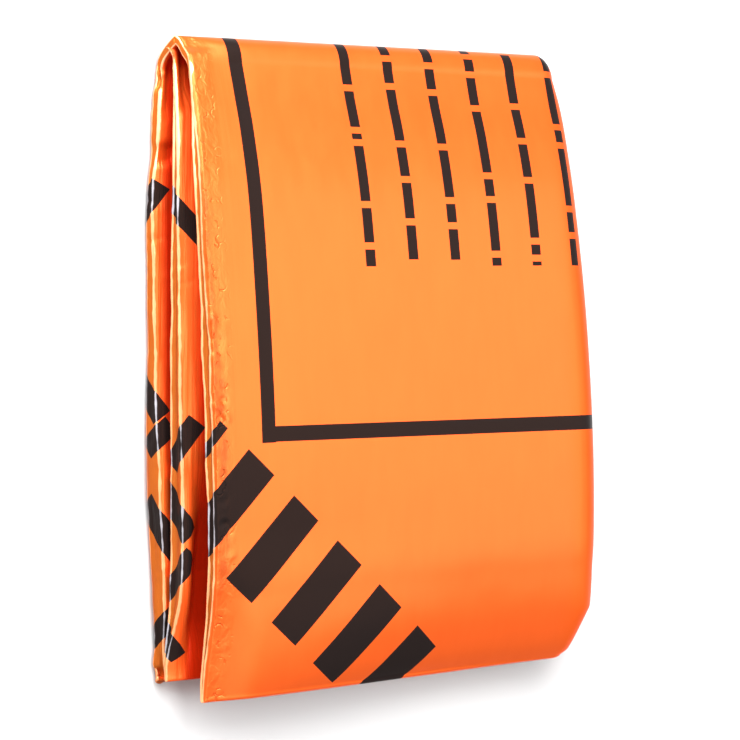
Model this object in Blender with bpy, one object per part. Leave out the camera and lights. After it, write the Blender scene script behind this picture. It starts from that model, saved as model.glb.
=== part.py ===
"""Emergency foil blanket, folded into a hand-sized pack that lies on its back.

The film is folded back and forth across the pack into three leaves, front, middle and rear, whose
folds all show on the left. The outer film then closes round the right side and over the top.
Metres, +Z up. X runs from the fold side to the closed side, Y from the bottom edge to the top edge,
and Z from the surface it lies on to the printed face. The origin is under the middle of the pack.
"""
from collections import namedtuple
from math import cos, pi, radians, sin

import bmesh
import bpy

MM = 0.001

# Driving sizes
WALL = 1.0 * MM             # a bundle of film layers, one wall of a leaf
TOP_SPREAD = 5.6 * MM       # how far the face rolls over past the last station at the top
TOP_MEETS = 6.8 * MM        # height at which the face and the back meet along the top edge
TUCK = 1.3 * MM             # how far each leaf's bottom fold reaches past the first station
INNER_DROP = 1.8 * MM       # the inner walls turn over this far under the outer film
MID_DROP = 4.2 * MM         # and the middle leaf ends this far under it
MID_RISE = 4.6 * MM         # the middle leaf is this much shorter than the front one at the bottom
REAR_RISE = 5.2 * MM        # and the rear leaf this much
RAMP = 30 * MM              # stretch over which those differences come in
WRAP_DEPTH = 9.0 * MM       # roundness of the closed side, seen from the end
FULL_HEIGHT = 19.0 * MM     # it is less round where the pack is lower than this
INNER_END = 1.5 * MM        # the inner walls stop this far short of the roundness
INNER_FOLD = 2.0 * MM       # roundness of the hidden fold on the right
NOSE_CROWN = 0.3 * MM       # the flat of each fold on the left bulges this much
LEVELLED = 0.67             # share of the way across at which the walls lie evenly spaced
SEAM = 0.001 * MM           # points closer than this are one point

# The pack's shape from the bottom edge to the top edge, in millimetres. Each leaf has the place of its
# fold on the left, and the heights of its upper and lower side there. right_x and right_top give the
# closed side. The rear leaf's lower side lies on the surface.
Station = namedtuple("Station", "y front_x front_top front_low mid_x mid_top mid_low "
                                "rear_x rear_top right_x right_top")
STATIONS = [
    Station(-75.5, -52.2, 11.6, 9.6, -58.5, 6.7, 4.3, -58.3, 2.4, 50.0, 10.8),
    Station(-70.8, -52.2, 13.2, 10.3, -58.5, 7.4, 4.6, -58.6, 2.9, 55.5, 13.6),
    Station(-62.3, -52.1, 15.6, 12.2, -57.7, 8.8, 5.5, -58.7, 3.8, 58.7, 16.8),
    Station(-53.3, -52.2, 18.2, 14.7, -57.2, 10.8, 6.5, -58.6, 4.6, 59.0, 18.8),
    Station(-43.8, -52.3, 20.0, 16.6, -56.9, 12.0, 7.0, -58.5, 5.0, 59.1, 20.2),
    Station(-25.3, -52.6, 21.3, 17.6, -56.5, 12.3, 7.4, -59.0, 4.3, 59.1, 21.3),
    Station(-5.3, -52.5, 21.6, 17.6, -56.1, 12.4, 7.8, -58.3, 3.8, 58.8, 21.5),
    Station(16.7, -52.4, 21.0, 17.2, -55.2, 12.2, 7.9, -57.5, 3.7, 58.2, 20.8),
    Station(38.7, -52.2, 19.2, 15.7, -54.2, 11.2, 7.6, -56.7, 3.6, 57.5, 18.6),
    Station(53.7, -51.5, 17.0, 13.7, -53.2, 9.9, 7.0, -55.2, 3.5, 57.0, 15.6),
    Station(63.2, -50.9, 14.8, 11.8, -52.4, 8.9, 6.2, -54.5, 3.4, 56.7, 12.8),
    Station(71.2, -50.3, 12.3, 9.6, -51.5, 7.8, 5.3, -53.1, 3.2, 55.3, 11.0),
]
BOTTOM_Y = STATIONS[0].y * MM
TOP_Y = STATIONS[-1].y * MM

# The walls from the back up to the face: each one's leaf, the station's column with its height at the
# fold, the side on which its thickness lies from there, and how much shorter it is at either edge.
Wall = namedtuple("Wall", "leaf column side bottom_rise top_drop")
WALLS = {
    "back": Wall("rear", None, 0.5, REAR_RISE, 0),
    "rear_inner": Wall("rear", "rear_top", -0.5, REAR_RISE, INNER_DROP),
    "mid_lower": Wall("mid", "mid_low", 0.5, MID_RISE, MID_DROP),
    "mid_upper": Wall("mid", "mid_top", -0.5, MID_RISE, MID_DROP),
    "front_inner": Wall("front", "front_low", 0.5, 0, INNER_DROP),
    "face": Wall("front", "front_top", -0.5, 0, 0),
}

ROWS_BETWEEN = 2            # rows of points from one station to the next
BOTTOM_TURN = [radians(angle) for angle in (90, 50)]
TOP_TURN = [radians(angle) for angle in (30, 60, 90)]
ACROSS = (0, 0.03, 0.1, 0.25, 0.42, 0.6, 0.78, 0.92, 1)  # points from a fold to the inner end
WRAP_STEPS = 8
FOLD_STEPS = 4

# A row of the film across the pack: its sizes, and how far it has turned over at either edge
Row = namedtuple("Row", "size tucked turned")


def clear_scene():
    """Remove whatever the scene holds."""
    for thing in list(bpy.data.objects):
        bpy.data.objects.remove(thing, do_unlink=True)


def smooth(before, start, end, after, share):
    """A value on the curve through start and end, in line with the values before and after them."""
    bend = (3 * (start - end) + after - before) * share
    lift = (2 * before - 5 * start + 4 * end - after + bend) * share
    return start + 0.5 * (end - before + lift) * share


def rows_of_film():
    """Every row from the bottom edge to the top edge, in metres."""
    sizes = []
    last = len(STATIONS) - 1
    for index in range(last):
        around = [STATIONS[min(max(index + step, 0), last)] for step in (-1, 0, 1, 2)]
        for part in range(ROWS_BETWEEN):
            share = part / ROWS_BETWEEN
            sizes.append(Station(*(smooth(*values, share) * MM for values in zip(*around))))
    sizes.append(Station(*(value * MM for value in STATIONS[last])))
    tucked = [Row(sizes[0], turn, 0) for turn in BOTTOM_TURN]
    turned = [Row(sizes[-1], 0, turn) for turn in TOP_TURN]
    return tucked + [Row(size, 0, 0) for size in sizes] + turned


def height_at_fold(size, name):
    """Height of a wall's middle line at its leaf's fold."""
    wall = WALLS[name]
    surface = getattr(size, wall.column) if wall.column else 0
    return surface + wall.side * WALL


def near(edge_y, y):
    """1 at an edge of the pack, fading to 0 a RAMP away from it."""
    return min(max(1 - abs(y - edge_y) / RAMP, 0), 1)


def wall_point(row, name, share, x):
    """The point of a wall's middle line at x, a share of the way from its fold to the right."""
    size, wall = row.size, WALLS[name]
    level = list(WALLS).index(name) / (len(WALLS) - 1)
    left = height_at_fold(size, name)
    right = WALL / 2 + (size.right_top - WALL) * level
    z = left + (right - left) * min(share / LEVELLED, 1)
    y = size.y + wall.bottom_rise * near(BOTTOM_Y, size.y) - wall.top_drop * near(TOP_Y, size.y)
    if row.tucked:
        leaf = [height_at_fold(size, other) for other in WALLS if WALLS[other].leaf == wall.leaf]
        tip = sum(leaf) / len(leaf)
        z = tip + (z - tip) * cos(row.tucked)
        y -= TUCK * sin(row.tucked)
    if row.turned:
        z = TOP_MEETS + (z - TOP_MEETS) * cos(row.turned)
        y += TOP_SPREAD * sin(row.turned)
    return (x, y, z)


def bend(start, end, reach, steps):
    """Points of a round bend from start to end, without the two, that reaches out towards +X."""
    points = []
    for step in range(1, steps):
        angle = pi * step / steps
        share = (1 - cos(angle)) / 2
        x, y, z = (a + (b - a) * share for a, b in zip(start, end))
        points.append((x + reach * sin(angle), y, z))
    return points


def film_across(row):
    """The film's middle line across the pack in one row, from one hidden end to the other."""
    size = row.size
    gathered = 1 - cos(row.turned)
    meeting_x = (size.front_x + size.rear_x) / 2
    depth = WRAP_DEPTH * min(size.right_top / FULL_HEIGHT, 1)
    wrap_x = size.right_x - WALL / 2 - depth
    inner_x = wrap_x - INNER_END - INNER_FOLD

    def wall_line(name):
        fold_x = getattr(size, WALLS[name].leaf + "_x")
        start = fold_x + (meeting_x - fold_x) * gathered + WALL / 2
        return [wall_point(row, name, share, start + (inner_x - start) * share) for share in ACROSS]

    def nose(upper, lower):
        x, y, z = ((a + b) / 2 for a, b in zip(upper[0], lower[0]))
        return [(x - NOSE_CROWN, y, z)]

    lines = {name: wall_line(name) for name in WALLS}
    for name in ("face", "back"):
        lines[name].append(wall_point(row, name, 1, wrap_x))
    wrap = bend(lines["face"][-1], lines["back"][-1], depth * cos(row.turned), WRAP_STEPS)
    fold = bend(lines["rear_inner"][-1], lines["mid_lower"][-1], INNER_FOLD * cos(row.turned), FOLD_STEPS)
    front = lines["front_inner"][::-1] + nose(lines["face"], lines["front_inner"]) + lines["face"]
    rear = lines["back"][::-1] + nose(lines["rear_inner"], lines["back"]) + lines["rear_inner"]
    middle = lines["mid_lower"][::-1] + nose(lines["mid_upper"], lines["mid_lower"]) + lines["mid_upper"]
    return front + wrap + rear + fold + middle


def orange_film():
    """Glossy metallised film, orange on both sides."""
    material = bpy.data.materials.new("orange_film")
    material.use_nodes = True
    shader = material.node_tree.nodes["Principled BSDF"]
    shader.inputs["Base Color"].default_value = (1.0, 0.30, 0.06, 1)
    shader.inputs["Metallic"].default_value = 0.6
    shader.inputs["Roughness"].default_value = 0.35
    return material


def folded_blanket():
    """The flat film is a grid, and each of its points is carried to its place in the folded pack."""
    places = [film_across(row) for row in rows_of_film()]
    columns, rows = len(places[0]) - 1, len(places) - 1
    film = bmesh.new()
    bmesh.ops.create_grid(film, x_segments=columns, y_segments=rows, size=0.5)
    for point in film.verts:
        column = round((point.co.x + 0.5) * columns)
        row = round((point.co.y + 0.5) * rows)
        point.co = places[row][column]
    bmesh.ops.remove_doubles(film, verts=film.verts, dist=SEAM)
    mesh = bpy.data.meshes.new("blanket")
    film.to_mesh(mesh)
    film.free()
    mesh.materials.append(orange_film())
    blanket = bpy.data.objects.new("blanket", mesh)
    bpy.context.scene.collection.objects.link(blanket)
    layers = blanket.modifiers.new("layers", "SOLIDIFY")
    layers.thickness = WALL
    layers.offset = 0


clear_scene()
folded_blanket()
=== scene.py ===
"""Emergency foil blanket, folded into a hand-sized pack that lies on its back on a pale surface.

Metres, +Z up. X runs from the fold side to the closed side, Y from the bottom edge to the top edge,
and Z from the surface to the printed face. The origin is under the middle of the pack.
"""
from collections import namedtuple
from math import cos, exp, pi, radians, sin, tan

import bmesh
import bpy
import numpy as np
from mathutils import Matrix


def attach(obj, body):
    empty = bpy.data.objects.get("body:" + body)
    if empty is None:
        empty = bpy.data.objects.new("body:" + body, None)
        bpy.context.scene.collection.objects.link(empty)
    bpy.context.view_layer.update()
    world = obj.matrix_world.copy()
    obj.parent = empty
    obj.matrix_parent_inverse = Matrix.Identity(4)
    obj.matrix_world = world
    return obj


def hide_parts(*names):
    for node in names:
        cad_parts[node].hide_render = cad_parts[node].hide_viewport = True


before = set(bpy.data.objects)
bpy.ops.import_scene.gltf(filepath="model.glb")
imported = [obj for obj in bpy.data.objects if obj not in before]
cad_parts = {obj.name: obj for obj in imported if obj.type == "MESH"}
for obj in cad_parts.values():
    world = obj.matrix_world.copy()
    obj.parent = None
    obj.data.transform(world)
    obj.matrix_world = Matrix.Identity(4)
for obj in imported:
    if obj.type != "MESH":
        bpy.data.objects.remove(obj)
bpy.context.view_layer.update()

MM = 0.001


# --------------------------------------------------------------------------------------------------
# The folded film. The real blanket is one sheet of metallised plastic film, orange outside, pressed
# into creases and folded back and forth into three leaves, closed on the right and at the top. Here
# a flat grid of film has its points carried to their folded place.
# --------------------------------------------------------------------------------------------------

FILM = 0.4 * MM             # a bundle of film layers, one wall of a leaf

# The pack's shape from the bottom edge to the top edge, in millimetres. Each leaf has the place of
# its fold on the left, and the heights of its upper and lower side there. right_x and right_top
# give the closed side. The rear leaf's lower side lies on the surface.
Station = namedtuple("Station", "y front_x front_top front_low mid_x mid_top mid_low "
                                "rear_x rear_top right_x right_top")
STATIONS = np.array([
    (-75.5, -53.1, 13.1, 11.4, -58.5, 5.4, 4.1, -57.3, 2.6, 50.0, 10.8),
    (-70.8, -52.9, 14.2, 11.6, -58.5, 6.1, 4.0, -57.8, 3.2, 55.5, 13.6),
    (-62.3, -52.4, 16.1, 12.9, -57.7, 8.4, 5.0, -58.2, 4.3, 58.7, 16.8),
    (-53.3, -52.2, 18.3, 15.0, -57.2, 11.1, 5.9, -58.4, 5.2, 59.0, 18.8),
    (-43.8, -52.3, 20.1, 16.8, -56.9, 12.2, 6.4, -58.5, 5.5, 59.1, 20.2),
    (-25.3, -52.6, 21.6, 17.9, -56.5, 12.7, 7.0, -59.0, 6.0, 59.1, 21.3),
    (-5.3, -52.5, 21.6, 17.4, -56.1, 12.6, 7.5, -58.3, 4.2, 58.8, 21.5),
    (16.7, -52.4, 20.6, 17.0, -55.2, 12.0, 7.9, -57.5, 3.5, 58.2, 20.8),
    (38.7, -52.2, 19.1, 15.7, -54.2, 10.9, 7.6, -56.7, 2.8, 57.5, 18.6),
    (53.7, -51.5, 16.4, 13.6, -53.2, 9.8, 7.1, -55.2, 3.2, 57.0, 15.6),
    (63.2, -50.9, 13.8, 12.2, -52.4, 8.0, 6.1, -54.5, 3.2, 56.7, 12.8),
    (71.2, -50.3, 11.3, 10.3, -51.5, 6.1, 4.7, -53.1, 2.1, 55.3, 11.0),
]) * MM
BOTTOM_Y, TOP_Y = STATIONS[0, 0], STATIONS[-1, 0]
# The closed side's corner at the bottom is cut off straight: right_x there at each y
CUT_CORNER = np.array([(-75.5, 52.5), (-74.4, 54.3), (-63.8, 59.1), (-53.3, 59.0)]) * MM

# The walls from the back up to the face: each one's leaf, the station's column with its height at
# the fold, the side on which its thickness lies from there, how much shorter it is at the bottom
# and at the top, and its height further in as a share of the pack's
MID_RISE, REAR_RISE = 4.6 * MM, 4.6 * MM
INNER_DROP = 1.8 * MM       # the inner walls turn over this far under the outer film
RAMP = 30 * MM              # stretch over which those differences come in
Wall = namedtuple("Wall", "leaf column side bottom_rise top_drop level")
WALLS = {
    "back": Wall("rear", None, 0.5, REAR_RISE, 0, 0),
    "rear_inner": Wall("rear", "rear_top", -0.5, REAR_RISE, INNER_DROP, 0.25),
    "mid_lower": Wall("mid", "mid_low", 0.5, MID_RISE, 0, 0.31),
    "mid_upper": Wall("mid", "mid_top", -0.5, MID_RISE, 0, 0.6),
    "front_inner": Wall("front", "front_low", 0.5, 0, INNER_DROP, 0.67),
    "face": Wall("front", "front_top", -0.5, 0, 0, 1),
}

# A row of the film across the pack: its sizes, and how far it has turned over at either edge
Row = namedtuple("Row", "size tucked turned")
ROW_STEP = 0.62 * MM
STOPS = 40                  # places that are looked up from one station to the next
BOTTOM_TURN = np.radians((90, 78, 66, 54, 42, 30, 18, 8))
TOP_TURN = np.radians(np.arange(6, 91, 6))


def smooth(before, start, end, after, share):
    """A value on the curve through start and end, in line with the values before and after them."""
    bend = (3 * (start - end) + after - before) * share
    lift = (2 * before - 5 * start + 4 * end - after + bend) * share
    return start + 0.5 * (end - before + lift) * share


def rows_of_film():
    """Every row from the bottom edge to the top edge."""
    last = len(STATIONS) - 1

    def size_at(stop):
        index = min(int(stop), last - 1)
        around = [STATIONS[min(max(index + step, 0), last)] for step in (-1, 0, 1, 2)]
        return smooth(*around, stop - index)

    stops = np.linspace(0, last, STOPS * last + 1)
    along = np.array([size_at(stop)[0] for stop in stops])
    steps_up = np.linspace(BOTTOM_Y, TOP_Y, round((TOP_Y - BOTTOM_Y) / ROW_STEP))
    sizes = [Station(*size_at(stop)) for stop in np.interp(steps_up, along, stops)]
    sizes = [size._replace(right_x=np.interp(size.y, *CUT_CORNER.T))
             if size.y < CUT_CORNER[-1, 0] else size for size in sizes]
    return ([Row(sizes[0], turn, 0) for turn in BOTTOM_TURN] + [Row(size, 0, 0) for size in sizes]
            + [Row(sizes[-1], 0, turn) for turn in TOP_TURN])


def height_at_fold(size, name):
    """Height of a wall's middle line at its leaf's fold."""
    wall = WALLS[name]
    surface = getattr(size, wall.column) if wall.column else 0
    return surface + wall.side * FILM


def near(edge_y, y):
    """1 at an edge of the pack, fading to 0 a RAMP away from it."""
    return min(max(1 - abs(y - edge_y) / RAMP, 0), 1)


def passed(value, start, end):
    """0 before start and 1 after end, with a smooth passage between."""
    share = min(max((value - start) / (end - start), 0), 1)
    return share * share * (3 - 2 * share)


def looked_up(table, place):
    """The value at a place in a table of places and values, on a straight line between them."""
    return np.interp(place, list(table), list(table.values()))


LEVELLED = 0.67             # share of the way across at which the outer walls are at their height
INNER_LEVELLED = 0.15       # and the inner ones, which are pressed together two and two
LEVELLING = 1.5             # how much of that height they take up at first
# The front leaf is blown up a little at the bottom, on the fold side: how far, up to where along
# the pack, and over which shares of the way across it comes in and fades
LIFT, LIFT_ENDS = 2.8 * MM, -36 * MM
LIFTED, LOWERED = (0, 0.13), (0.2, 0.8)


def level_height(size, name, share):
    """Height of a wall's middle line, a share of the way from its fold to the right."""
    left = height_at_fold(size, name)
    right = FILM / 2 + (size.right_top - FILM) * WALLS[name].level
    levelled = LEVELLED if name in ("face", "back") else INNER_LEVELLED
    height = left + (right - left) * (1 - (1 - min(share / levelled, 1)) ** LEVELLING)
    if WALLS[name].leaf == "front":
        height += (LIFT * (1 - passed(size.y, BOTTOM_Y, LIFT_ENDS)) * passed(share, *LIFTED)
                   * (1 - passed(share, *LOWERED)))
    return height


def walls_at_share(size, leaf, share):
    """The heights of a leaf's two walls there."""
    return [level_height(size, name, share) for name in WALLS if WALLS[name].leaf == leaf]


# How far the upper wall of the middle leaf sinks beside its fold, by the place along it, in
# millimetres. Towards the bottom the gap above it is wide and deep, and towards the top the wall
# bulges into it. Each goes over a stretch from the fold in, and comes up again further in.
SINKING = {-76: 0.0, -71: 0.8, -61: 3.2, -46.5: 4.4, -38: 3.0, -32: 1.5, -24: 0.1, -20: -0.5,
           -6: -1.3, 17: -1.9, 53: -1.7, 62: -1.0, 70: -0.3}
SINKS = (1.9 * MM, 5.5 * MM)
BULGES_UP = (0.1 * MM, 7.6 * MM)
COMES_BACK = (9 * MM, 22 * MM)
# Pockets open at the top, where three walls sink close to the fold
POCKET = {"mid_upper": 2.2 * MM, "mid_lower": 1.9 * MM, "rear_inner": 1.3 * MM}
POCKET_SIDE = (0.9 * MM, 2.4 * MM)          # over this stretch from the fold in
POCKET_END = (58 * MM, 67 * MM)             # and this one towards the top
# Where the outer film has turned over this far, the wall beside it is pressed down to this share
THINNED_BY, THINNEST = radians(55), 0.15
TUCK = 0.8 * MM             # how far each leaf's bottom fold reaches past the first station
TUCK_HEIGHT = 0.8           # and how far up its thickness the fold lies
CLOSED_FROM = 0.72          # share of the way across from which the bottom edge is closed up
MID_SPREAD = 3.6 * MM       # the middle leaf rounds off this far past the last station at the top
TOP_SPREAD = 6.1 * MM       # and the outer film rolls over this far
TOP_MEETS = 6.8 * MM        # height at which the face and the back meet along the top edge
REAR_ROUND = 0.6            # how early the rear leaf's film runs up there: lower is rounder
# The corner of the front leaf at the top is pushed down, in millimetres at each angle of the turn
CORNER_DROP = {0: 0.0, 14: 0.5, 24: 1.2, 34: 1.9, 50: 1.9, 65: 1.4, 80: 0.6, 90: 0.0}
CORNER_REACH = 7 * MM


def wall_point(row, name, share, x):
    """The point of a wall's middle line at x, a share of the way from its fold to the right."""
    size, wall = row.size, WALLS[name]
    z = level_height(size, name, share)
    inward = x - getattr(size, wall.leaf + "_x")
    if name == "mid_upper":
        depth = MM * looked_up(SINKING, size.y / MM)
        sunk = passed(inward, *(SINKS if depth > 0 else BULGES_UP))
        z -= depth * sunk * (1 - passed(inward, *COMES_BACK))
    if name in POCKET:
        z -= (POCKET[name] * passed(inward, *POCKET_SIDE) * passed(size.y, *POCKET_END)
              * (1 - passed(inward, *COMES_BACK)))
    if row.turned and name in ("front_inner", "rear_inner"):
        outer = level_height(size, "face" if name == "front_inner" else "back", share)
        z = outer + (z - outer) * max(1 - row.turned / THINNED_BY, THINNEST)
    y = size.y + wall.bottom_rise * near(BOTTOM_Y, size.y) - wall.top_drop * near(TOP_Y, size.y)
    if row.tucked:
        closing = min(max((share - CLOSED_FROM) / (1 - CLOSED_FROM), 0), 1)
        low, high = sorted(walls_at_share(size, wall.leaf, share))
        tip = (low + (high - low) * TUCK_HEIGHT) * (1 - closing) + size.right_top / 2 * closing
        z = tip + (z - tip) * cos(row.tucked)
        y -= TUCK * sin(row.tucked)
    if row.turned and wall.leaf == "mid":
        tip = sum(walls_at_share(size, "mid", share)) / 2
        z = tip + (z - tip) * cos(row.turned)
        y += MID_SPREAD * sin(row.turned)
    elif row.turned and wall.leaf == "rear":
        z += (TOP_MEETS - z) * (1 - cos(row.turned))
        y += TOP_SPREAD * (1 - cos(row.turned)) ** REAR_ROUND
    elif row.turned:
        z = TOP_MEETS + (z - TOP_MEETS) * cos(row.turned)
        y += TOP_SPREAD * sin(row.turned)
        dropped = MM * looked_up(CORNER_DROP, row.turned / radians(1))
        z -= dropped * exp(-((x - size.front_x) / CORNER_REACH) ** 2)
    return (x, y, z)


def bend(start, end, reach, steps):
    """Points of a round bend from start to end, without the two, that reaches out towards +X."""
    points = []
    for step in range(1, steps):
        angle = pi * step / steps
        share = (1 - cos(angle)) / 2
        x, y, z = (a + (b - a) * share for a, b in zip(start, end))
        points.append((x + reach * sin(angle), y, z))
    return points


CREASE_RADIUS = 0.7 * MM    # roundness of a pressed crease, at the middle of its film
MOST_ROUND = 0.48           # but at most this share of the leaf's thickness
CREASE_STEPS = 5            # points round a crease
# The band between the two creases of a fold is pressed hollow, and its lower crease stands out: how
# far each share of the way down lies in from the upper crease, in millimetres
HOLLOW = {0.0: 0, 0.12: 0.1, 0.28: 0.22, 0.45: 0.3, 0.6: 0.28, 0.74: 0.1, 0.86: -0.14, 0.94: -0.3,
          1.0: -0.38}
FULLY_HOLLOW = 1.6 * MM     # a lower band than this is less hollow
# The rear leaf's fold stands out instead: the same for it, and by how much at each place along it
BULGE = {0.0: 0, 0.12: -0.15, 0.28: -0.4, 0.45: -0.7, 0.6: -0.9, 0.74: -1.0, 0.86: -1.0,
         0.94: -0.95, 1.0: -0.9}
BULGES = {-76: 2.0, -72: 1.9, -67: 1.2, -60: 1.1, -45: 0.95, -20: 0.65, 10: 0.4, 40: 0.45, 72: 0.2}
MID_FLARE = 1.6 * MM        # the middle leaf's corner at the top stands out to the left this much
# Points of a wall, as distances from its crease and then as shares of the rest of the way
CLOSE_BY = np.concatenate([np.arange(0.5, 8.1, 0.5), (9, 10.2, 11.6, 13.5, 16)]) * MM
BEYOND = {"front": np.array((0.06, 0.13, 0.21, 0.3, 0.4, 0.5, 0.6, 0.7, 0.79, 0.87, 0.94, 1)),
          "mid": np.array((0.12, 0.3, 0.5, 0.75, 1))}
BEYOND["rear"] = BEYOND["front"]
WRAP_DEPTH = 9.0 * MM       # roundness of the closed side, seen from the end
FULL_HEIGHT = 19.0 * MM     # it is less round where the pack is lower than this
WRAP_STEPS = 14
INNER_END = 1.5 * MM        # the inner walls stop this far short of the roundness
INNER_FOLD = 2.0 * MM       # roundness of the hidden fold on the right
FOLD_STEPS = 4


def film_across(row):
    """The film's middle line across the pack in one row, from one hidden end to the other."""
    size = row.size
    gathered = 1 - cos(row.turned)
    meeting_x = (size.front_x + size.rear_x) / 2
    depth = WRAP_DEPTH * min(size.right_top / FULL_HEIGHT, 1)
    wrap_x = size.right_x - FILM / 2 - depth
    inner_x = wrap_x - INNER_END - INNER_FOLD

    def leaf_walls(upper, lower):
        """A leaf's two walls, each from its crease to the right, and its nose from the top down."""
        leaf = WALLS[upper].leaf
        fold_x = getattr(size, leaf + "_x")
        if leaf == "mid":
            fold_x += FILM / 2 - MID_FLARE * gathered
        else:
            fold_x += (meeting_x - fold_x) * gathered + FILM / 2
        top, low = (wall_point(row, name, 0, fold_x) for name in (upper, lower))
        radius = min(CREASE_RADIUS, MOST_ROUND * (top[2] - low[2]))
        start = fold_x + radius
        reach = inner_x - start
        far = CLOSE_BY[-1] + (reach - CLOSE_BY[-1]) * BEYOND[leaf]
        inwards = np.concatenate([[0], CLOSE_BY, far])
        lines = [[wall_point(row, name, d / reach, start + d) for d in inwards]
                 for name in (upper, lower)]
        flat = top[2] - low[2] - 2 * radius
        profile, pressed = HOLLOW, MM * min(flat / FULLY_HOLLOW, 1)
        if leaf == "rear":
            profile, pressed = BULGE, MM * looked_up(BULGES, size.y / MM) * cos(row.turned)
        nose = []
        for turn in np.radians(np.linspace(0, 90, CREASE_STEPS + 1)[1:]):
            nose.append((start - radius * sin(turn), top[1], top[2] - radius * (1 - cos(turn))))
        for share in list(profile)[1:]:
            nose.append((fold_x + profile[share] * pressed, top[1] + (low[1] - top[1]) * share,
                         top[2] - radius - flat * share))
        out = profile[1.0] * pressed
        for turn in np.radians(np.linspace(90, 0, CREASE_STEPS + 1)[1:-1]):
            nose.append((start + out * sin(turn) - radius * sin(turn), low[1],
                         low[2] + radius * (1 - cos(turn))))
        return lines[0], lines[1], nose

    face, front_inner, front_nose = leaf_walls("face", "front_inner")
    mid_upper, mid_lower, mid_nose = leaf_walls("mid_upper", "mid_lower")
    rear_inner, back, rear_nose = leaf_walls("rear_inner", "back")
    face.append(wall_point(row, "face", 1, wrap_x))
    back.append(wall_point(row, "back", 1, wrap_x))
    return {"front_inner": front_inner[::-1], "front_nose": front_nose[::-1], "face": face,
            "wrap": bend(face[-1], back[-1], depth * cos(row.turned), WRAP_STEPS),
            "back": back[::-1], "rear_nose": rear_nose[::-1], "rear_inner": rear_inner,
            "fold": bend(rear_inner[-1], mid_lower[-1], INNER_FOLD * cos(row.turned), FOLD_STEPS),
            "mid_lower": mid_lower[::-1], "mid_nose": mid_nose[::-1], "mid_upper": mid_upper}


stretches = [film_across(row) for row in rows_of_film()]
places = np.array([sum(stretch.values(), []) for stretch in stretches])
row_count, column_count = places.shape[:2]
columns, taken = {}, 0
for name, points in stretches[0].items():
    columns[name] = slice(taken, taken + len(points))
    taken += len(points)

# Where each point lies on the flat film: across it from the middle of the face, and along it. The
# folds of the rear and the middle leaf lie straight on it, and the rest is taken up in the pack.
REAR_FOLD_ACROSS, MID_FOLD_ACROSS = 195 * MM, 415 * MM
FOLD_REACH = 18 * MM
MIDDLE_OF_FACE = len(CLOSE_BY) + 6          # points from the front crease
steps = np.linalg.norm(np.diff(places, axis=1), axis=2)
across = np.concatenate([np.zeros((row_count, 1)), np.cumsum(steps, axis=1)], axis=1)
fold_columns = {leaf: (columns[leaf + "_nose"].start + columns[leaf + "_nose"].stop) // 2
                for leaf in ("front", "rear", "mid")}
beside = {leaf: across - across[:, [column]] for leaf, column in fold_columns.items()}
flat_across = np.empty_like(across)
for row in range(row_count):
    face_middle = np.interp(0, places[row, columns["face"], 0], across[row, columns["face"]])
    wrap_end = across[row, columns["back"].start]
    rear, mid = across[row, fold_columns["rear"]], across[row, fold_columns["mid"]]
    known = [across[row, 0], face_middle, wrap_end, rear - FOLD_REACH, rear + FOLD_REACH,
             mid - FOLD_REACH, mid + FOLD_REACH, across[row, -1]]
    lie_at = [across[row, 0] - face_middle, 0, wrap_end - face_middle,
              REAR_FOLD_ACROSS - FOLD_REACH, REAR_FOLD_ACROSS + FOLD_REACH,
              MID_FOLD_ACROSS - FOLD_REACH, MID_FOLD_ACROSS + FOLD_REACH,
              MID_FOLD_ACROSS + across[row, -1] - mid]
    flat_across[row] = np.interp(across[row], known, lie_at)
middle_column = columns["face"].start + MIDDLE_OF_FACE
risen = np.linalg.norm(np.diff(places[:, middle_column], axis=0), axis=1)
flat_along = np.concatenate([[0], np.cumsum(risen)])
flat_along -= np.interp(0, places[:, middle_column, 1], flat_along)

# How far each point is from the nearest crease, positive on the wall's side and negative on the
# fold's. The creases are numbered from the middle leaf's lower one to the front leaf's upper one.
LOWER_CREASE = CREASE_STEPS - 1             # points from a nose's lower end
UPPER_CREASE = LOWER_CREASE + len(HOLLOW) + 1
# the front leaf's upper crease has its worn line with the painted highlight a little lower down its
# bend
FRONT_UPPER_CREASE = UPPER_CREASE - 2       # this one is worn a little lower down its bend
CREASES = [("mid_nose", LOWER_CREASE, -1), ("mid_nose", UPPER_CREASE, 1),
           ("rear_nose", LOWER_CREASE, -1), ("rear_nose", UPPER_CREASE, 1),
           ("front_nose", LOWER_CREASE, -1), ("front_nose", FRONT_UPPER_CREASE, 1)]
MID_UPPER, REAR_LOWER, FRONT_UPPER = 1, 2, 5
FAR_AWAY = 1.0
to_crease = np.full_like(across, FAR_AWAY)
crease_number = np.zeros(across.shape, int)
for number, (nose, point, side) in enumerate(CREASES):
    at = columns[nose].start + point
    distance = side * (across - across[:, at:at + 2].mean(axis=1, keepdims=True))
    closer = np.abs(distance) < np.abs(to_crease)
    to_crease[closer] = distance[closer]
    crease_number[closer] = number

# Crinkles: short sharp dents and ridges where the film was pressed. Each has its leaf, its distance
# from the middle of that leaf's fold, its place along the fold, its turn, length, width and height,
# and how soft its crest is.
Crinkle = namedtuple("Crinkle", "leaf beside along turn length width height soft")
# How far the short ones turn, in degrees, their lengths and widths in millimetres, and their crest
TURNED, LENGTHS, WIDTHS, SHARP = 38, (0.7, 2.0), (0.45, 0.8), 1.3
chance = np.random.default_rng(11)
crinkles = []
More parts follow.
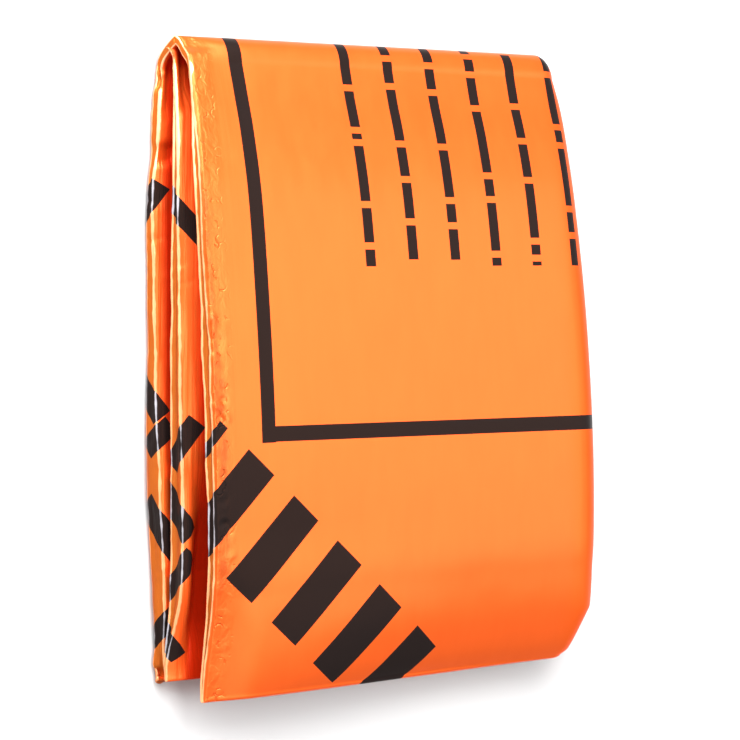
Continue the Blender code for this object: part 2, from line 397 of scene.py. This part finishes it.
# Groups of them: the leaf, the stretches beside and along its fold, their number and usual height
for leaf, first, last, low, high, count, height in (
        ("front", 2.4, 6.0, 17, 22, 7, 0.2), ("front", 2.4, 5.5, 4, 12, 10, 0.2),
        ("front", 2.4, 5.5, -12, -6, 10, 0.22), ("front", 2.6, 5.5, -44, -28, 26, 0.22),
        ("front", 2.4, 6.4, -74, 74, 16, 0.06), ("front", -2.0, 2.2, -74, 74, 50, 0.06),
        ("mid", -2.5, 2.5, -74, 74, 60, 0.06), ("mid", 2.5, 7.5, -74, 74, 40, 0.05),
        ("rear", -2.0, 2.0, -74, 74, 50, 0.10), ("rear", 2.0, 7.0, -74, 74, 60, 0.08)):
    for _ in range(count):
        crinkles.append(Crinkle(
            leaf, chance.uniform(first, last) * MM, chance.uniform(low, high) * MM,
            radians(chance.normal(0, TURNED)), chance.uniform(*LENGTHS) * MM,
            chance.uniform(*WIDTHS) * MM, chance.normal(0, height) * MM, SHARP))
# Long soft ones run beside the creases, and the rear leaf has been pushed in at a few places
for leaf, place, low, high, width, height, soft in (
        ("front", 4.4, -62, 52, 1.5, -0.10, 2),
        ("mid", 3.6, -70, 60, 0.5, -0.08, 1.3), ("mid", 4.9, -70, 30, 0.5, 0.07, 1.3),
        ("mid", 6.1, -72, 10, 0.6, -0.07, 1.3), ("mid", 0.3, -60, 66, 0.5, -0.12, 1.3),
        ("rear", 3.4, -60, 60, 0.5, -0.1, 1.3), ("rear", 4.4, -60, 66, 0.5, 0.09, 1.3),
        ("rear", 5.5, -40, 50, 0.6, -0.09, 1.3), ("rear", 4.5, 48, 53, 3.2, -1.2, 1.5),
        ("rear", 0.8, -72.5, -69, 1.3, -1.3, 1.5), ("rear", 1.0, 65.5, 69, 1.6, -0.8, 1.5),
        ("rear", 0.2, -48, -30, 0.9, -0.5, 1.2), ("rear", 0.4, -66, -58, 1.0, -0.5, 1.2)):
    crinkles.append(Crinkle(leaf, place * MM, (low + high) / 2 * MM, pi / 2,
                            (high - low) / 2 * MM, width * MM, height * MM, soft))

raised = np.zeros((row_count, column_count))
for dent in crinkles:
    to_side = beside[dent.leaf] - dent.beside
    up = places[..., 1] - dent.along
    lengthways = to_side * cos(dent.turn) + up * sin(dent.turn)
    sideways = up * cos(dent.turn) - to_side * sin(dent.turn)
    raised += dent.height * np.exp(-np.abs(sideways / dent.width) ** dent.soft
                                   - (lengthways / dent.length) ** 4)

# Each crease also wanders a little, to the side and up and down: the distance from one knot of its
# path to the next, and the usual step aside there
WANDERINGS = ((9 * MM, 0.1 * MM), (2.6 * MM, 0.03 * MM))
WANDER_REACH = 1.2 * MM     # how far beside a crease its wandering is felt
for number in range(len(CREASES)):
    fading = np.exp(-(to_crease / WANDER_REACH) ** 2) * (crease_number == number)
    for axis in (0, 2):
        wander = np.zeros(row_count)
        for knot_step, size in WANDERINGS:
            knots = np.arange(BOTTOM_Y - 10 * MM, TOP_Y + 20 * MM, knot_step)
            wander += np.interp(flat_along, knots, chance.normal(0, size, len(knots)))
        places[..., axis] += fading * wander[:, None]

TINY = 1e-12
outward = np.cross(np.gradient(places, axis=1), np.gradient(places, axis=0))
outward /= np.maximum(np.linalg.norm(outward, axis=2, keepdims=True), TINY)
dented = np.ones(row_count)
dented[[0, 1, -2, -1]] = 0  # the outermost rows are folds, and stay as they are
places = places + outward * (raised * dented[:, None])[..., None]
places[..., 2] = np.maximum(places[..., 2], FILM / 2)

# The parts of the walls that nobody can see, further than so many millimetres from a crease, have
# one row of points in a few
SEEN = {"front_inner": 3, "back": 2, "rear_inner": 10, "mid_lower": 3, "mid_upper": 13}
HIDDEN_ROWS = 4
SEAM = 0.001 * MM           # points closer than this are one point
hidden = np.zeros(column_count, bool)
for name, seen in SEEN.items():
    strips = slice(columns[name].start, columns[name].stop - 1)
    hidden[strips] = np.abs(to_crease[row_count // 2, strips]) > seen * MM
hidden[columns["fold"].start:columns["fold"].stop - 1] = True

film = bmesh.new()
flat_map = film.loops.layers.uv.new("flat")
crease_map = film.loops.layers.uv.new("crease")
bmesh.ops.create_grid(film, x_segments=column_count - 1, y_segments=row_count - 1, size=0.5)
place_on_grid = {}
for point in film.verts:
    column = round((point.co.x + 0.5) * (column_count - 1))
    row = round((point.co.y + 0.5) * (row_count - 1))
    place_on_grid[point] = (row, column)
    point.co = places[row, column]
    crease_along = flat_along[row] + crease_number[row, column]
    for corner in point.link_loops:
        corner[flat_map].uv = (flat_across[row, column], flat_along[row])
        corner[crease_map].uv = (to_crease[row, column], crease_along)
spare = []
for edge in film.edges:
    (row, column), (other_row, other_column) = (place_on_grid[point] for point in edge.verts)
    between_edges = len(BOTTOM_TURN) < row < row_count - len(TOP_TURN) - 1
    unseen = row == other_row and hidden[min(column, other_column)]
    if unseen and between_edges and row % HIDDEN_ROWS:
        spare.append(edge)
bmesh.ops.dissolve_edges(film, edges=spare, use_verts=True)
bmesh.ops.remove_doubles(film, verts=film.verts, dist=SEAM)
mesh = bpy.data.meshes.new("folded_film")
film.to_mesh(mesh)
film.free()
mesh.shade_smooth()
blanket = bpy.data.objects.new("folded_film", mesh)
bpy.context.scene.collection.objects.link(blanket)
layers = blanket.modifiers.new("layers", "SOLIDIFY")
layers.thickness = FILM
layers.offset = 0

# The finish: orange metallised film with black print. Along the creases the colour is worn pale,
# with a painted highlight in it, and silver where print crosses them. Painted shade darkens the
# gaps between the leaves and a band beside the front crease. The fine crinkles are bumps, laid out
# on the flat film.
ORANGE, DEEPER_ORANGE = (0.80, 0.108, 0.014, 1), (0.77, 0.100, 0.012, 1)
# painted shade: the deep red laid into the colour between the leaves and in the pockets
PAINTED_GAP_SHADE = (0.64, 0.034, 0.004, 1)   # where light is lost between the leaves
ON_THE_FOLDS = (0.40, 0.105, 0.013, 1)
# painted shade for the crinkled band beside the front crease
PAINTED_BAND_SHADE = (0.42, 0.063, 0.0065, 1)
INK = (0.0115, 0.0082, 0.0078, 1)
# pale crease lines, part wear and part painted highlight, paler towards the top
WORN_AND_HIGHLIT, WORN_AND_HIGHLIT_AT_TOP = (0.93, 0.42, 0.19, 1), (0.94, 0.55, 0.28, 1)
SILVER = (0.46, 0.44, 0.48, 1)
METALLIC = 0.5
COAT, COAT_ON_FLATS = 0.6, 0.15             # weight of the clear coat on the walls and on the folds
COAT_LOST = 0.75                            # share of it that is missing on the closed side,
CLOSED_SIDE = 98 * MM, 106 * MM             # which begins so far from the front crease
SMOOTHEST, ROUGHER = 0.30, 0.08

orange = bpy.data.materials.new("orange_film")
orange.use_nodes = True
nodes, links = orange.node_tree.nodes, orange.node_tree.links
shader = nodes["Principled BSDF"]
shader.inputs["Specular IOR Level"].default_value = 0.06
shader.inputs["Specular Tint"].default_value = (1.0, 0.3, 0.08, 1)
shader.inputs["Coat Roughness"].default_value = 0.28
shader.inputs["Coat IOR"].default_value = 1.3


def put_in(socket, value):
    """Set an input to a number or a colour, or link it to the output of another node."""
    if isinstance(value, bpy.types.NodeSocket):
        links.new(value, socket)
    else:
        socket.default_value = value


def maths(operation, *inputs):
    """The output of a maths node."""
    node = nodes.new("ShaderNodeMath")
    node.operation = operation
    for socket, value in zip(node.inputs, inputs):
        put_in(socket, value)
    return node.outputs["Value"]


def times(first, *others):
    """The product of several values."""
    for other in others:
        first = maths("MULTIPLY", first, other)
    return first


def plus(first, *others):
    """The sum of several values."""
    for other in others:
        first = maths("ADD", first, other)
    return first


def without(share):
    """What a share leaves of 1."""
    return maths("SUBTRACT", 1.0, share)


def away_from(value, middle):
    """How far a value is from a middle one."""
    return maths("ABSOLUTE", maths("SUBTRACT", value, middle))


def eased(value, start, end):
    """0 where a value is at start, 1 where it is at end, with a smooth passage between."""
    node = nodes.new("ShaderNodeMapRange")
    node.interpolation_type = "SMOOTHSTEP"
    put_in(node.inputs["Value"], value)
    node.inputs["From Min"].default_value, node.inputs["From Max"].default_value = start, end
    return node.outputs["Result"]


def from_map(name):
    """The two coordinates of a point on one of the film's maps, in metres."""
    place = nodes.new("ShaderNodeUVMap")
    place.uv_map = name
    parts = nodes.new("ShaderNodeSeparateXYZ")
    links.new(place.outputs["UV"], parts.inputs[0])
    return place.outputs["UV"], parts.outputs["X"], parts.outputs["Y"]


def noise(place, grain, shift=0, detail=2.0, distorted=0.0):
    """Noise about 0.5 with grains of this size across and along the film, in millimetres."""
    laid = nodes.new("ShaderNodeMapping")
    links.new(place, laid.inputs["Vector"])
    laid.inputs["Location"].default_value = (shift, shift, 0)
    laid.inputs["Scale"].default_value = (1 / (grain[0] * MM), 1 / (grain[1] * MM), 1)
    node = nodes.new("ShaderNodeTexNoise")
    node.noise_dimensions = "2D"
    links.new(laid.outputs["Vector"], node.inputs["Vector"])
    node.inputs["Scale"].default_value = 1
    node.inputs["Detail"].default_value = detail
    node.inputs["Distortion"].default_value = distorted
    return node.outputs["Fac"]


def mixed(share, colour, other):
    """A colour that passes into another one."""
    node = nodes.new("ShaderNodeMix")
    node.data_type = "RGBA"
    put_in(node.inputs["Factor"], share)
    sockets = [socket for socket in node.inputs if socket.type == "RGBA"]
    put_in(sockets[0], colour)
    put_in(sockets[1], other)
    return next(socket for socket in node.outputs if socket.type == "RGBA")


flat_place, flat_x, flat_y = from_map("flat")
crease_place, beside_crease, along_crease = from_map("crease")
from_crease = maths("ABSOLUTE", beside_crease)


def along_bar(middle, size, turn):
    """Coordinates on the flat film that are 0 in the middle of a turned bar and 1 at its ends."""
    placed = nodes.new("ShaderNodeMapping")
    placed.vector_type = "TEXTURE"
    placed.inputs["Location"].default_value = (middle[0] * MM, middle[1] * MM, 0)
    placed.inputs["Rotation"].default_value = (0, 0, radians(turn))
    placed.inputs["Scale"].default_value = (size[0] / 2 * MM, size[1] / 2 * MM, 1)
    links.new(flat_place, placed.inputs["Vector"])
    parts = nodes.new("ShaderNodeSeparateXYZ")
    links.new(placed.outputs["Vector"], parts.inputs[0])
    return parts.outputs["X"], parts.outputs["Y"]


def within(across_bar, down_bar):
    """1 inside a bar and 0 outside it."""
    furthest = maths("MAXIMUM", maths("ABSOLUTE", across_bar), maths("ABSOLUTE", down_bar))
    return maths("LESS_THAN", furthest, 1.0)


def bar(middle, size, turn):
    """1 inside a turned bar on the flat film: its middle and size in millimetres, and its turn."""
    return within(*along_bar(middle, size, turn))


# Print: a border line down from the top edge and round to the closed side
print_marks = [bar((-38.2, 35), (3.6, 104.8), 0), bar((20, -16.0), (120, 3.6), -0.57)]

# Lines of blocks of uneven length that stand in for small print
LINE_PITCH, WORD_PITCH = 12 * MM, 11 * MM
LINES_BEGIN = 14.5 * MM     # how far left of the middle
LINE_SHIFT = 0.37           # how much further along each line's blocks lie, as a share of the pitch
HALF_GAP, HALF_LINE = 0.075, 0.115          # as shares of the pitch too, like where the gaps are
GAPS_FROM, GAPS_OVER = 0.1, 0.8
line = maths("DIVIDE", maths("ADD", flat_x, LINES_BEGIN), LINE_PITCH)
line_number = maths("FLOOR", line)
word = plus(maths("DIVIDE", flat_y, WORD_PITCH), times(line_number, LINE_SHIFT))
pair = nodes.new("ShaderNodeCombineXYZ")
links.new(line_number, pair.inputs["X"])
links.new(maths("FLOOR", word), pair.inputs["Y"])
luck = nodes.new("ShaderNodeTexWhiteNoise")
luck.noise_dimensions = "2D"
links.new(pair.outputs[0], luck.inputs["Vector"])
gap_place = maths("MULTIPLY_ADD", luck.outputs["Value"], GAPS_OVER, GAPS_FROM)
inked = maths("GREATER_THAN", away_from(maths("FRACT", word), gap_place), HALF_GAP)
thin = maths("LESS_THAN", away_from(maths("FRACT", line), 0.5), HALF_LINE)
print_marks.append(times(inked, thin, bar((21.5, 56), (72, 66), 0)))

# Bold slanted bars over the fold and the corner
BARS_IN_LENGTH, BAR_SHARE = 2.6, 0.56
across_bars, down_bars = along_bar((-29, -50), (84, 25), -44)
striped = maths("LESS_THAN", maths("FRACT", times(across_bars, BARS_IN_LENGTH)), BAR_SHARE)
print_marks.append(times(striped, within(across_bars, down_bars)))

# Shorter ones that show on the two rear folds: the place beside and along the fold, width, length
# and turn
FOLD_BARS = {
    MID_FOLD_ACROSS: ((3, 35, 4.5, 17, 42), (2.5, -17, 5, 13, -38), (0, -32, 5.5, 16, 40),
                      (1, -48, 5, 15, -40), (0, -66, 4.5, 12, 35)),
    REAR_FOLD_ACROSS: ((-1, 38, 5, 14, -35), (-1, -5, 5, 15, 38), (2.5, -15.5, 5, 9, -50),
                       (3, -37, 6, 17, 36), (2, -62, 5, 14, -42))}
for fold_across, bars in FOLD_BARS.items():
    for x, y, wide, long, turn in bars:
        print_marks.append(bar((fold_across / MM + x, y), (wide, long), turn))

ink = print_marks[0]
for mark in print_marks[1:]:
    ink = maths("MAXIMUM", ink, mark)

# Worn creases with a painted highlight: a pale line of uneven width, broken here and there, paler
# towards the top, and wider at the front leaf's top corner, where the painted highlight flares
HIGHLIGHT_FLARE_AT = 70.5 * MM
near_top = eased(flat_y, 34 * MM, 52 * MM)
past_top = eased(flat_y, 70 * MM, 73 * MM)
highlight_flare = eased(away_from(along_crease, FRONT_UPPER + HIGHLIGHT_FLARE_AT), 2.0 * MM, 0.4 * MM)
unevenness = plus(times(noise(crease_place, (40, 7), 3), 0.5 * MM),
                  times(noise(crease_place, (1.5, 3.0), 5, detail=3.0), 0.3 * MM))
wider = plus(times(near_top, 0.08 * MM), times(highlight_flare, 0.4 * MM))
narrower = plus(times(past_top, 0.25 * MM), times(ink, 0.16 * MM), 0.14 * MM)
worn_and_highlit_width = maths("SUBTRACT", plus(unevenness, wider), narrower)
worn_and_highlit = eased(maths("SUBTRACT", from_crease, worn_and_highlit_width), 0.12 * MM, -0.12 * MM)

# Painted shade inside the gaps and pockets: a deep red laid into the colour where light is lost
# between the leaves, which the outer film doesn't take part in
MID_SHOWS = 2.2 * MM        # the middle leaf is seen this much further in from its fold
WALL_ENDS = 60 * MM         # further from a crease than this, only the outer film is left
on_front = maths("GREATER_THAN", along_crease, FRONT_UPPER - 0.5)
on_mid = maths("LESS_THAN", away_from(along_crease, MID_UPPER), 0.5)
under_rear = maths("LESS_THAN", away_from(along_crease, REAR_LOWER), 0.5)
outer = maths("MAXIMUM", maths("MAXIMUM", on_front, under_rear),
              maths("GREATER_THAN", beside_crease, WALL_ENDS))
inward = maths("SUBTRACT", beside_crease, times(on_mid, MID_SHOWS))
painted_pocket_shade = times(past_top, eased(beside_crease, 0.4 * MM, 1.4 * MM))
painted_gap_shade = times(maths("MAXIMUM", eased(inward, 1.0 * MM, 3.6 * MM), painted_pocket_shade), without(outer))

# The flats of the folds are browner. A band beside the front crease has painted shade, darker and
# mottled, for the shading of its crinkles; it is wider in the bottom half
BROWNED = 0.85
PAINTED_BAND_WIDTH, WIDENED = 2.6 * MM, 2.0 * MM
LEAST_MOTTLED = 0.3
on_fold = times(eased(beside_crease, 0.1 * MM, -0.3 * MM), BROWNED)
painted_band_width = maths("MULTIPLY_ADD", eased(flat_y, 10 * MM, -8 * MM), WIDENED, PAINTED_BAND_WIDTH)
painted_band_shade = times(eased(beside_crease, 0.3 * MM, 1.0 * MM),
               eased(maths("SUBTRACT", beside_crease, painted_band_width), 0, -1.5 * MM),
               on_front, eased(flat_y, 52 * MM, 38 * MM), eased(flat_y, -56 * MM, -44 * MM))
mottled_shade = maths("MULTIPLY_ADD", eased(noise(flat_place, (3, 5), 30, detail=4.0), 0.42, 0.62),
                1 - LEAST_MOTTLED, LEAST_MOTTLED)

colour = mixed(noise(flat_place, (3, 14), 9), ORANGE, DEEPER_ORANGE)
colour = mixed(painted_gap_shade, colour, PAINTED_GAP_SHADE)
colour = mixed(on_fold, colour, ON_THE_FOLDS)
colour = mixed(times(painted_band_shade, mottled_shade), colour, PAINTED_BAND_SHADE)
printed = mixed(ink, colour, INK)
bare_and_highlit = mixed(ink, mixed(near_top, WORN_AND_HIGHLIT, WORN_AND_HIGHLIT_AT_TOP), SILVER)
put_in(shader.inputs["Base Color"], mixed(worn_and_highlit, printed, bare_and_highlit))

clear_of_ink = without(times(ink, without(worn_and_highlit)))
on_wall = eased(beside_crease, -0.3 * MM, 0.3 * MM)
on_closed_side = times(eased(beside_crease, *CLOSED_SIDE), COAT_LOST)
glossy = times(maths("MULTIPLY_ADD", on_wall, COAT - COAT_ON_FLATS, COAT_ON_FLATS),
               without(on_closed_side))
roughness = maths("MULTIPLY_ADD", noise(flat_place, (2, 5), 1, detail=4.0), ROUGHER, SMOOTHEST)
put_in(shader.inputs["Metallic"], times(clear_of_ink, METALLIC))
put_in(shader.inputs["Roughness"], roughness)
put_in(shader.inputs["Coat Weight"], times(clear_of_ink, glossy))

# Bumps, in millimetres: streaks along the folds, crinkles and small arcs beside the front crease,
# and the faint waves and grain of the film
STREAKS, STREAKS_ON_FRONT = 0.14, 0.03
CRUMPLES, ARCS, WAVES, GRAIN = 0.18, -0.14, 0.25, 0.004
ARC_CELLS, ARC_RADIUS, ARC_WIDTH = 3.2 * MM, 0.33, 0.09     # the last two are shares of a cell
streaked = times(eased(from_crease, 13 * MM, 3 * MM),
                 maths("MULTIPLY_ADD", on_front, STREAKS_ON_FRONT - STREAKS, STREAKS))
front_band = times(on_front, times(eased(beside_crease, 0.3 * MM, 1.2 * MM),
                                   eased(beside_crease, 6.5 * MM, 3.5 * MM)))
cells = nodes.new("ShaderNodeTexVoronoi")
cells.voronoi_dimensions = "2D"
links.new(flat_place, cells.inputs["Vector"])
cells.inputs["Scale"].default_value = 1 / ARC_CELLS
arc = times(eased(away_from(cells.outputs["Distance"], ARC_RADIUS), ARC_WIDTH, 0.0),
            eased(noise(flat_place, (3, 5), 20), 0.55, 0.62))
height = plus(times(noise(flat_place, (0.8, 30), 2), streaked),
              times(noise(flat_place, (2.2, 3.0), 7, detail=3.0, distorted=0.4),
                    times(front_band, CRUMPLES)),
              times(arc, times(front_band, ARCS)),
              times(noise(flat_place, (18, 26), 4), WAVES),
              times(noise(flat_place, (0.35, 0.35), 6, detail=1.0), GRAIN))
relief = nodes.new("ShaderNodeBump")
relief.inputs["Strength"].default_value = 1
relief.inputs["Distance"].default_value = MM
links.new(height, relief.inputs["Height"])
links.new(relief.outputs["Normal"], shader.inputs["Normal"])
links.new(relief.outputs["Normal"], shader.inputs["Coat Normal"])
mesh.materials.append(orange)

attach(blanket, "root")
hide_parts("blanket")


# --------------------------------------------------------------------------------------------------
# The surface under the pack: a plain pale sheet, matt, that runs out of the picture on every side
# and isn't part of the object.
# --------------------------------------------------------------------------------------------------

SURFACE_REACH = 3           # metres from the pack to each side
surface_mesh = bpy.data.meshes.new("surface")
sheet = bmesh.new()
bmesh.ops.create_grid(sheet, x_segments=1, y_segments=1, size=SURFACE_REACH)
sheet.to_mesh(surface_mesh)
sheet.free()
surface = bpy.data.objects.new("surface", surface_mesh)
bpy.context.scene.collection.objects.link(surface)
pale_surface = bpy.data.materials.new("pale_surface")
pale_surface.use_nodes = True
pale_shader = pale_surface.node_tree.nodes["Principled BSDF"]
pale_shader.inputs["Base Color"].default_value = (0.5, 0.5, 0.5, 1)
pale_shader.inputs["Roughness"].default_value = 0.9
pale_shader.inputs["Specular IOR Level"].default_value = 0.1
surface_mesh.materials.append(pale_surface)


# --------------------------------------------------------------------------------------------------
# The studio light: soft boxes on stands round the pack, the strongest ones beyond its top edge, and
# an even white room.
# --------------------------------------------------------------------------------------------------

LIGHT_DISTANCE = 1.2
ROOM_BRIGHTNESS = 0.36


def softbox(name, to_right, to_top, wide, tall, brightness):
    """A soft area light that stands so many degrees off the zenith and spans so many."""
    lamp = bpy.data.lights.new(name, "AREA")
    lamp.shape = "RECTANGLE"
    lamp.size, lamp.size_y = (2 * LIGHT_DISTANCE * tan(radians(angle) / 2)
                              for angle in (wide, tall))
    lamp.energy = pi * lamp.size * lamp.size_y * brightness
    stand = bpy.data.objects.new(name, lamp)
    stand.matrix_world = (Matrix.Rotation(radians(to_right), 4, "Y")
                          @ Matrix.Rotation(-radians(to_top), 4, "X")
                          @ Matrix.Translation((0, 0, LIGHT_DISTANCE)))
    bpy.context.scene.collection.objects.link(stand)


softbox("key", -3, 45, 16, 45, 14.5)
softbox("key_side", 14, 45, 20, 45, 6.3)
softbox("overhead", 5, 0, 26, 45, 5.5)
softbox("right", 34, 0, 32, 45, 2.4)
softbox("far_right", 60, 0, 22, 45, 1)
softbox("left", -80, 22, 15, 90, 2.6)
softbox("left_top", -45, 45, 40, 45, 7.4)
softbox("bottom", -12, -40, 24, 40, 1.2)

world = bpy.data.worlds.new("studio")
world.use_nodes = True
background = world.node_tree.nodes["Background"]
background.inputs["Color"].default_value = (1, 1, 1, 1)
background.inputs["Strength"].default_value = ROOM_BRIGHTNESS
bpy.context.scene.world = world
bpy.context.scene.view_settings.view_transform = "Standard"


# --------------------------------------------------------------------------------------------------
# The camera, above the pack and towards its fold side, rolled by two degrees as the photograph is.
# Its lens is worked out from the picture's width in pixels.
# --------------------------------------------------------------------------------------------------

CAMERA_PLACE = (-277.43 * MM, -1.49 * MM, 465.66 * MM)
CAMERA_TILT = radians(31.0)
CAMERA_ROLL = radians(1.9)
FOCAL_PIXELS = 2200
IMAGE_PIXELS = 740
SENSOR_WIDTH = 36           # millimetres

lens = bpy.data.cameras.new("camera")
lens.sensor_width = SENSOR_WIDTH
lens.lens = SENSOR_WIDTH * FOCAL_PIXELS / IMAGE_PIXELS
camera = bpy.data.objects.new("camera", lens)
camera.matrix_world = (Matrix.Translation(CAMERA_PLACE) @ Matrix.Rotation(-CAMERA_TILT, 4, "Y")
                       @ Matrix.Rotation(-CAMERA_ROLL, 4, "Z"))
bpy.context.scene.collection.objects.link(camera)
bpy.context.scene.camera = camera
